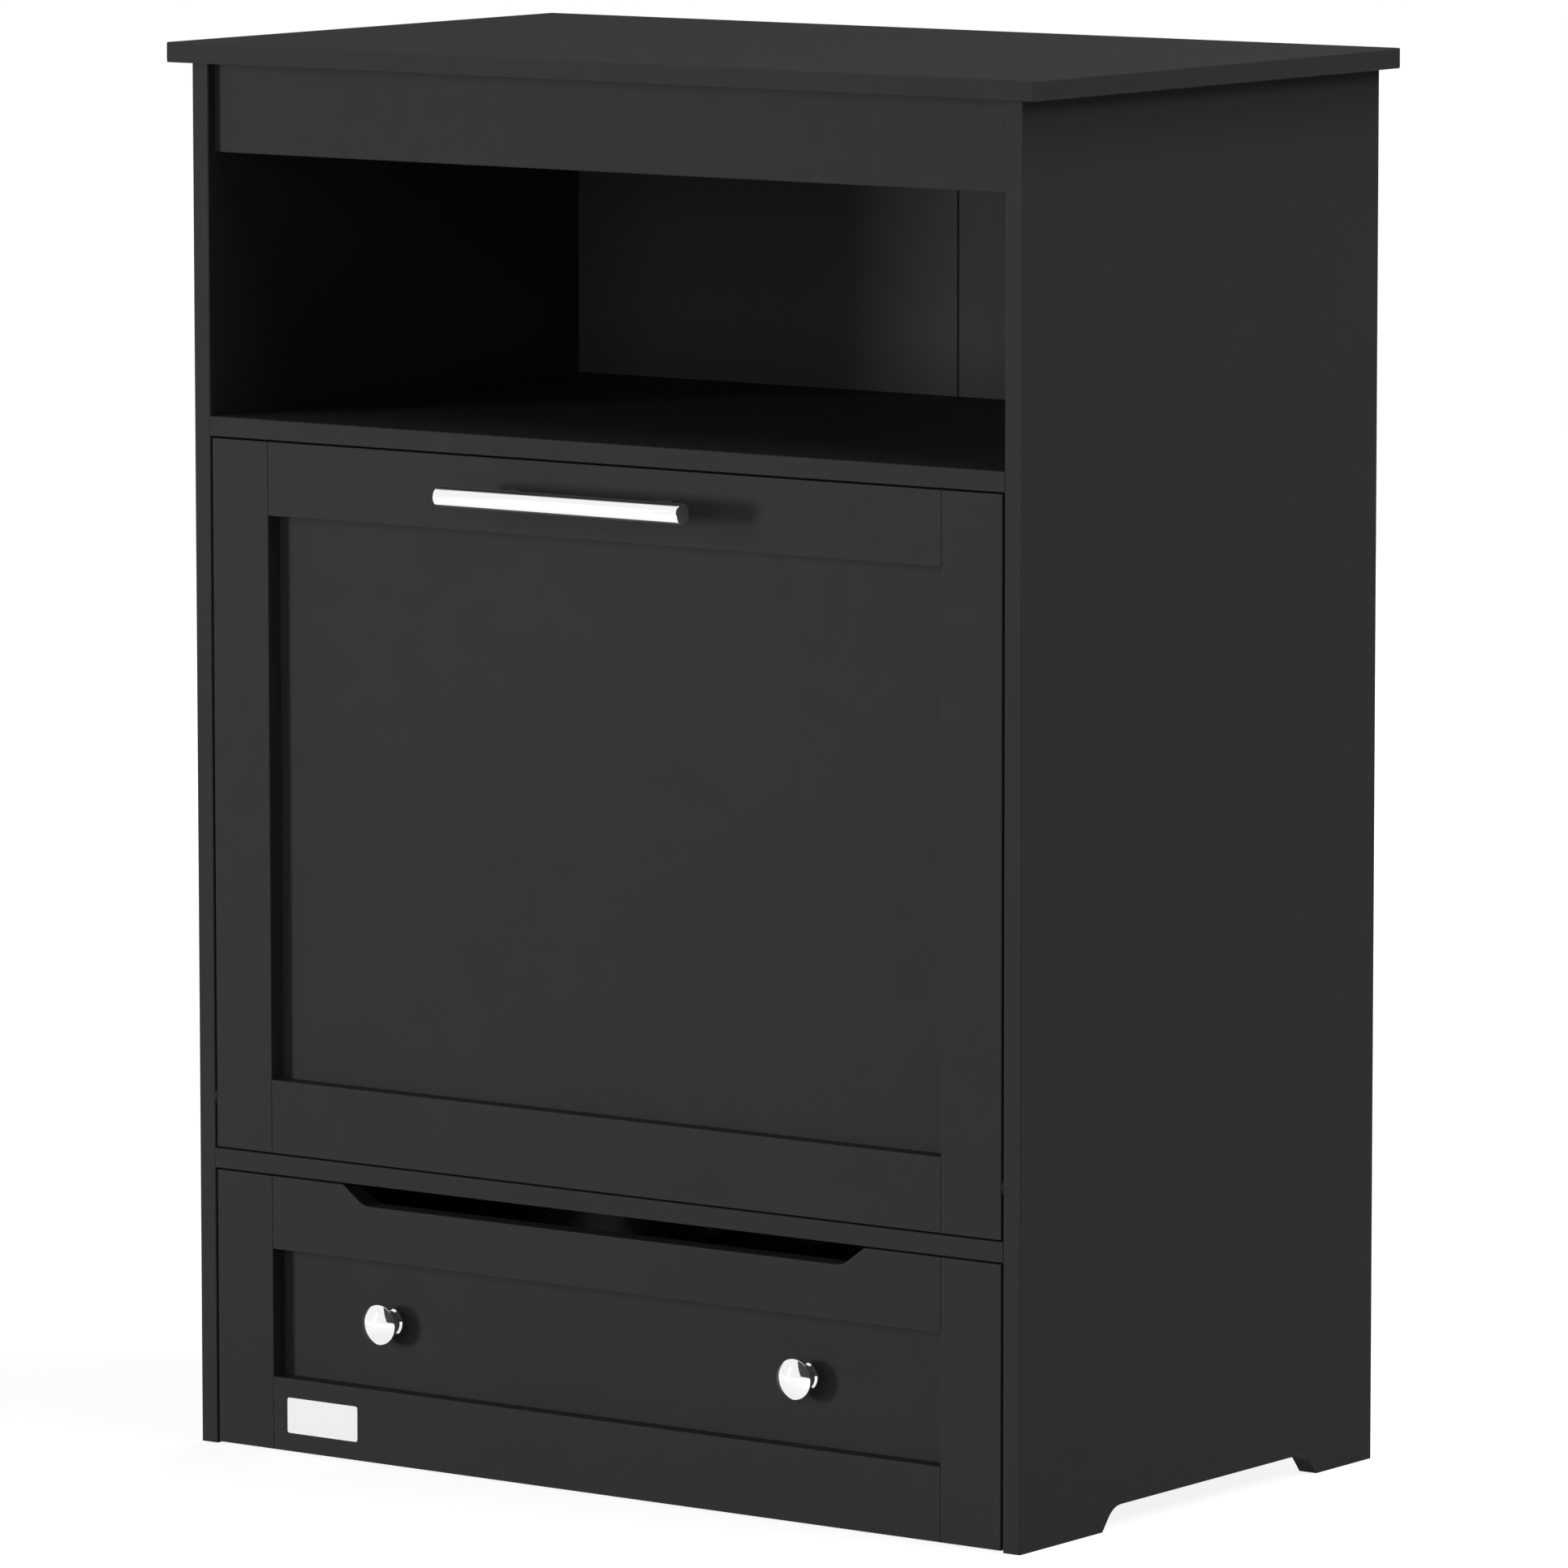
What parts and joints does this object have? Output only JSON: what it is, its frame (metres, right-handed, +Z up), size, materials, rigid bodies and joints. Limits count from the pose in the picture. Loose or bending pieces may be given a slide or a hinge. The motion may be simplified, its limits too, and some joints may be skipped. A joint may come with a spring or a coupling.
{
  "type": "pet feeder cabinet",
  "caption": "Free-standing black cabinet with an open shelf, a tilt-out food bin behind a framed front with a bar handle, and a drawer that carries lift-out steel feeding bowls.",
  "frame": {"origin": "on the floor under the middle of the whole cabinet, its handle included", "axes": "+X to the viewer's right as the cabinet is faced, +Y to the back, +Z up"},
  "size_m": [0.626, 0.4062, 0.841],
  "materials": {
    "black_lacquer": "black lacquered board, satin",
    "black_sheet": "thin black faced sheet, satin",
    "bright_chrome": "polished",
    "bowl_steel": "spun stainless, satin",
    "zinc_steel": "zinc plated",
    "runner_paint": "black epoxy",
    "white_nylon": "moulded nylon",
    "black_plastic": "moulded",
    "clear_rubber": "soft pad"
  },
  "bodies": {
    "cabinet": {"top_panel": "black_lacquer", "left_side_panel": "black_lacquer", "right_side_panel": "black_lacquer", "front_apron": "black_lacquer", "upper_shelf": "black_lacquer", "lower_divider": "black_lacquer", "back_panel_left": "black_sheet", "back_panel_right": "black_sheet", "rear_rail": "black_lacquer", "stop_rail": "black_lacquer", "magnetic_catch": "black_plastic", "bumper_pads": "clear_rubber", "pivot_bushes": "black_plastic", "carcass_cams": "zinc_steel", "carcass_bolts": "zinc_steel", "left_cabinet_runner": "runner_paint", "right_cabinet_runner": "runner_paint"},
    "tilt_bin": {"bin_front_left_stile": "black_lacquer", "bin_front_right_stile": "black_lacquer", "bin_front_top_rail": "black_lacquer", "bin_front_bottom_rail": "black_lacquer", "bin_front_panel": "black_lacquer", "handle_bar": "bright_chrome", "handle_posts": "bright_chrome", "handle_screws": "zinc_steel", "pivot_pins": "zinc_steel", "catch_strike": "zinc_steel", "bin_left_side": "black_lacquer", "bin_right_side": "black_lacquer", "bin_rear_panel": "black_lacquer", "bin_bottom_panel": "black_lacquer", "bin_cams": "zinc_steel", "bin_bolts": "zinc_steel"},
    "drawer": {"drawer_front_left_stile": "black_lacquer", "drawer_front_right_stile": "black_lacquer", "drawer_front_top_rail": "black_lacquer", "drawer_front_bottom_rail": "black_lacquer", "drawer_front_panel": "black_lacquer", "left_knob": "bright_chrome", "right_knob": "bright_chrome", "knob_screws": "zinc_steel", "drawer_left_side": "black_lacquer", "drawer_right_side": "black_lacquer", "drawer_back": "black_lacquer", "drawer_bottom": "black_sheet", "bowl_board": "black_lacquer", "drawer_cams": "zinc_steel", "drawer_bolts": "zinc_steel", "left_drawer_runner": "runner_paint", "right_drawer_runner": "runner_paint"},
    "bowl_left": {"left_bowl": "bowl_steel"},
    "bowl_right": {"right_bowl": "bowl_steel"},
    "roller_front_left": {"left_front_roller": "white_nylon"},
    "roller_front_right": {"right_front_roller": "white_nylon"},
    "roller_rear_left": {"left_rear_roller": "white_nylon"},
    "roller_rear_right": {"right_rear_roller": "white_nylon"}
  },
  "joints": [
    {"name": "bin_tilt", "type": "hinge", "parent": "cabinet", "child": "tilt_bin", "pos_m": [0, -0.15837, 0.2105], "axis": [1, 0, 0], "range_deg": [0, 35]},
    {"name": "drawer_slide", "type": "slide", "parent": "cabinet", "child": "drawer", "axis": [0, -1, 0], "range_m": [0, 0.24]},
    {"name": "left_bowl_lift", "type": "slide", "parent": "drawer", "child": "bowl_left", "axis": [0, 0, 1], "range_m": [0, 0.03]},
    {"name": "right_bowl_lift", "type": "slide", "parent": "drawer", "child": "bowl_right", "axis": [0, 0, 1], "range_m": [0, 0.03]},
    {"name": "left_front_roller_spin", "type": "hinge", "parent": "cabinet", "child": "roller_front_left", "pos_m": [-0.2828, -0.13487, 0.0317], "axis": [1, 0, 0], "continuous": true},
    {"name": "left_rear_roller_spin", "type": "hinge", "parent": "drawer", "child": "roller_rear_left", "pos_m": [-0.2807, 0.12812, 0.0315], "axis": [1, 0, 0], "continuous": true},
    {"name": "right_front_roller_spin", "type": "hinge", "parent": "cabinet", "child": "roller_front_right", "pos_m": [0.2828, -0.13487, 0.0317], "axis": [1, 0, 0], "continuous": true},
    {"name": "right_rear_roller_spin", "type": "hinge", "parent": "drawer", "child": "roller_rear_right", "pos_m": [0.2807, 0.12812, 0.0315], "axis": [1, 0, 0], "continuous": true}
  ],
  "couplings": [
    {"joint": "left_front_roller_spin", "follows": "drawer_slide", "rad_per_m": 100},
    {"joint": "left_rear_roller_spin", "follows": "drawer_slide", "rad_per_m": 100},
    {"joint": "right_front_roller_spin", "follows": "drawer_slide", "rad_per_m": 100},
    {"joint": "right_rear_roller_spin", "follows": "drawer_slide", "rad_per_m": 100}
  ]
}
